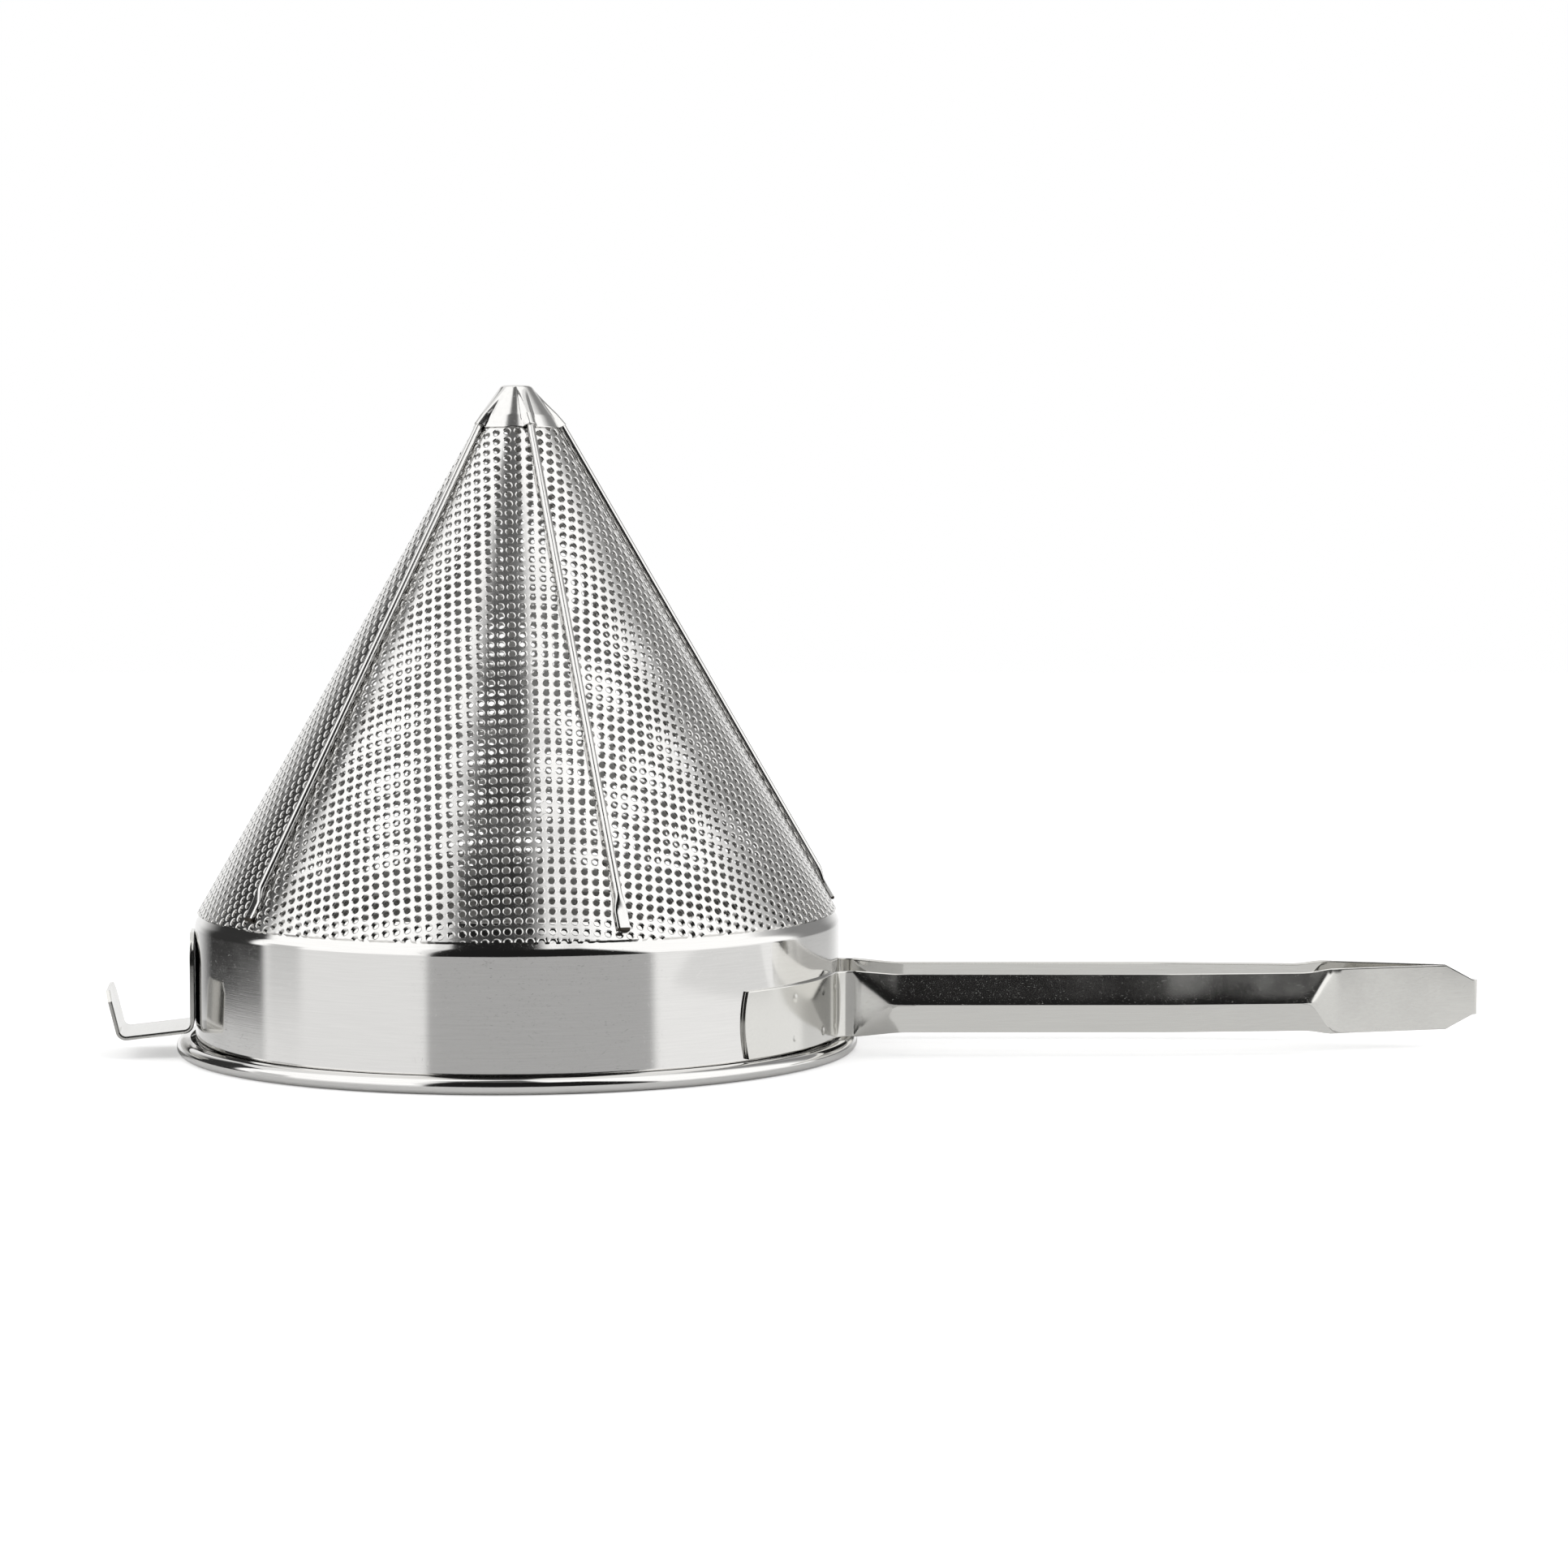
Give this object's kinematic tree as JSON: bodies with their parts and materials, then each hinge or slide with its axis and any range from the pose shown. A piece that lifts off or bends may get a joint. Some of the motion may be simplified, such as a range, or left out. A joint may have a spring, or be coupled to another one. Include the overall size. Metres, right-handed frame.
{
  "type": "conical strainer",
  "caption": "Conical strainer: punched steel cone with support wires and a tip cap on a rolled-rim band, with a folded strap handle and a pan hook.",
  "frame": {"origin": "centre of the mouth, in the plane of the rolled rim's underside", "axes": "+Z along the cone's axis to its tip, +X along the handle away from the band"},
  "size_m": [0.5292, 0.2624, 0.2553],
  "materials": {
    "band_steel": "bright polished stainless steel sheet",
    "punched_steel": "bright punched stainless steel sheet",
    "cap_steel": "bright pressed stainless steel",
    "strap_steel": "satin polished stainless steel strip",
    "wire_steel": "bright drawn stainless steel wire"
  },
  "bodies": {
    "root": {"body_band": "band_steel", "perforated_cone": "punched_steel", "tip_cap": "cap_steel", "handle_strap": "strap_steel", "pan_hook": "strap_steel", "support_wire_1": "wire_steel", "support_wire_2": "wire_steel", "support_wire_3": "wire_steel", "support_wire_4": "wire_steel", "support_wire_5": "wire_steel"}
  },
  "joints": []
}
